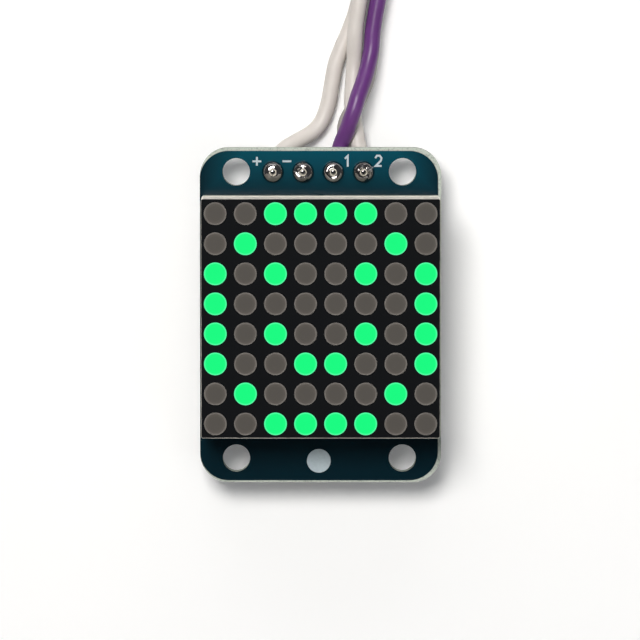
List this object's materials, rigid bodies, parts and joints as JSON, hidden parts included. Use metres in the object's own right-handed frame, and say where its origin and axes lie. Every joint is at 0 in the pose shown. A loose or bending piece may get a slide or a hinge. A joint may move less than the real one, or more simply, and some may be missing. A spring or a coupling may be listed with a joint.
{
  "type": "led dot matrix display on driver board",
  "caption": "Small square display of round dots in a black face, soldered on a teal driver board with corner mounting holes and hook-up wires that end in a tied coil.",
  "frame": {"origin": "centre of the board's outline, in the plane on which the pin tips stand", "axes": "+Z out of the display's face, +Y along the board towards the wire terminals, +X to the right of the display"},
  "size_m": [0.0226, 0.0645, 0.0109],
  "materials": {
    "board": "glass-fibre laminate under a glossy dark teal solder mask",
    "copper": "gold-plated copper lands",
    "housing": "moulded white plastic with a printed matte black face",
    "lit_resin": "diffusing resin, lit green",
    "unlit_resin": "grey diffusing resin, unlit",
    "led_chip": "polished die",
    "substrate": "bare laminate",
    "potting": "self-levelled casting resin",
    "tinned_pin": "tin-plated metal",
    "solder": "bright reflowed solder",
    "chip_body": "black moulding compound",
    "capacitor": "unglazed tan ceramic",
    "resistor": "black coating on ceramic",
    "tinned_core": "tinned copper strands",
    "white_wire": "satin white insulation",
    "grey_wire": "satin off-white insulation",
    "purple_wire": "satin purple insulation",
    "tie": "black tie strip"
  },
  "bodies": {
    "root": {"circuit_board": "board", "front_pads": "copper", "back_pads": "copper", "matrix_housing": "housing", "lit_dots": "lit_resin", "unlit_dots": "unlit_resin", "led_chips": "led_chip", "matrix_substrate": "substrate", "back_potting": "potting", "matrix_pins": "tinned_pin", "pin_solder": "solder", "driver_chip": "chip_body", "chip_leads": "tinned_pin", "chip_solder": "solder", "large_capacitor": "capacitor", "small_capacitor": "capacitor", "pullup_resistors": "resistor", "address_resistor": "resistor", "diode": "chip_body", "end_caps": "tinned_pin", "part_solder": "solder", "terminal_solder": "solder", "wire_cores": "tinned_core", "wire_plus": "white_wire", "wire_minus": "grey_wire", "wire_data": "purple_wire", "wire_clock": "white_wire", "wire_coil": "white_wire", "coil_tie": "tie", "end_plus": "tinned_core", "end_minus": "tinned_core", "end_data": "tinned_core", "end_clock": "tinned_core"}
  },
  "joints": []
}
